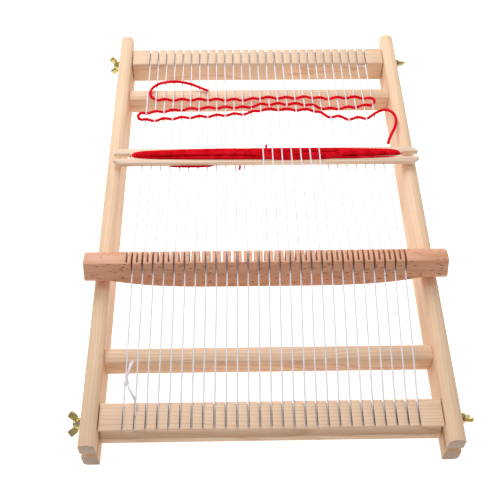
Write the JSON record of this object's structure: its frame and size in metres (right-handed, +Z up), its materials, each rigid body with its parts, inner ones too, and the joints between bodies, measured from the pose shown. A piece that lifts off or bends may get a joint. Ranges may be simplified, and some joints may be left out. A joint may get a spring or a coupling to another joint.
{
  "type": "frame loom",
  "caption": "Wooden table-top frame loom with slotted end beams, wing nuts, rocking heddle bar, cotton warp, started weft and a loaded stick shuttle.",
  "frame": {"origin": "on the table under the middle of the frame", "axes": "+Y from the weaver's edge to the far edge along the side rails, +X to the weaver's right along the beams, +Z up"},
  "size_m": [0.2692, 0.4, 0.0521],
  "materials": {
    "pine": "planed and sanded pale softwood, unvarnished, end grain greyer",
    "beech": "sanded beech with short dark flecks, unvarnished",
    "shuttle_wood": "smooth sanded pale wood",
    "yellow_zinc": "yellow chromated zinc plating with faint green and pink sheen",
    "warp_cotton": "twisted white cotton thread",
    "red_yarn": "soft plied red yarn"
  },
  "bodies": {
    "frame": {"left_side_rail": "pine", "right_side_rail": "pine", "front_stretcher": "pine", "back_stretcher": "pine", "stretcher_pegs": "shuttle_wood", "warp_front_run": "warp_cotton", "warp_back_run": "warp_cotton", "front_warp_tie": "warp_cotton", "back_warp_tie": "warp_cotton", "weft_yarn": "red_yarn"},
    "front_beam": {"front_warp_beam": "pine", "front_beam_studs": "yellow_zinc", "front_warp_loops": "warp_cotton"},
    "back_beam": {"back_warp_beam": "pine", "back_beam_studs": "yellow_zinc", "back_warp_loops": "warp_cotton"},
    "front_left_nut": {"front_left_wing_nut": "yellow_zinc"},
    "front_right_nut": {"front_right_wing_nut": "yellow_zinc"},
    "back_left_nut": {"back_left_wing_nut": "yellow_zinc"},
    "back_right_nut": {"back_right_wing_nut": "yellow_zinc"},
    "heddle": {"heddle_bar": "beech"},
    "shuttle": {"shuttle_stick": "shuttle_wood", "shuttle_yarn": "red_yarn"}
  },
  "joints": [
    {"name": "front_beam_slide", "type": "slide", "parent": "frame", "child": "front_beam", "axis": [0, 1, 0], "range_m": [0, 0.004], "deforming": ["front_warp_loops", "warp_front_run", "front_warp_tie"]},
    {"name": "back_beam_slide", "type": "slide", "parent": "frame", "child": "back_beam", "axis": [0, -1, 0], "range_m": [0, 0.004], "deforming": ["back_warp_loops", "warp_back_run", "back_warp_tie"]},
    {"name": "front_left_nut_turn", "type": "hinge", "parent": "front_beam", "child": "front_left_nut", "pos_m": [-0.128, -0.1775, 0.0155], "axis": [-1, 0, 0], "continuous": true},
    {"name": "front_right_nut_turn", "type": "hinge", "parent": "front_beam", "child": "front_right_nut", "pos_m": [0.128, -0.1775, 0.0155], "axis": [1, 0, 0], "continuous": true},
    {"name": "back_left_nut_turn", "type": "hinge", "parent": "back_beam", "child": "back_left_nut", "pos_m": [-0.128, 0.1775, 0.0155], "axis": [-1, 0, 0], "continuous": true},
    {"name": "back_right_nut_turn", "type": "hinge", "parent": "back_beam", "child": "back_right_nut", "pos_m": [0.128, 0.1775, 0.0155], "axis": [1, 0, 0], "continuous": true},
    {"name": "heddle_rock", "type": "hinge", "parent": "frame", "child": "heddle", "pos_m": [-0.0004, -0.0669, 0.0429], "axis": [1, 0, 0], "range_deg": [0, 56], "deforming": ["warp_front_run", "warp_back_run"]},
    {"name": "shuttle_slide", "type": "slide", "parent": "frame", "child": "shuttle", "axis": [1, 0, 0], "range_m": [-0.009, 0.015], "deforming": ["weft_yarn", "warp_back_run"]}
  ]
}
